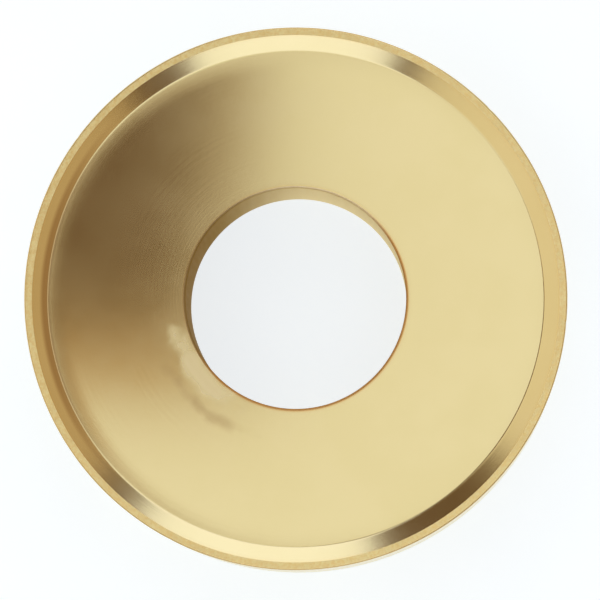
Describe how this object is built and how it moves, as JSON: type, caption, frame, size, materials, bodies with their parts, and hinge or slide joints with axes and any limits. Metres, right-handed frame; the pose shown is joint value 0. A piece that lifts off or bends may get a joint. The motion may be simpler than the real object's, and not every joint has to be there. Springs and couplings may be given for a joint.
{
  "type": "round face mill insert",
  "caption": "Round one-sided milling insert, coated gold, with a plain through hole, a flat seat below, and above a gently falling face, a shallow chip groove and a narrow land at the edge.",
  "frame": {"origin": "centre of the seat on the underside, on the hole's axis", "axes": "+Z along the hole's axis, from the seat to the cutting edge; the part is round, so X and Y are free"},
  "size_m": [0.0126, 0.0126, 0.0048],
  "materials": {
    "coated_carbide": "satin"
  },
  "bodies": {
    "root": {"round_insert": "coated_carbide"}
  },
  "joints": []
}
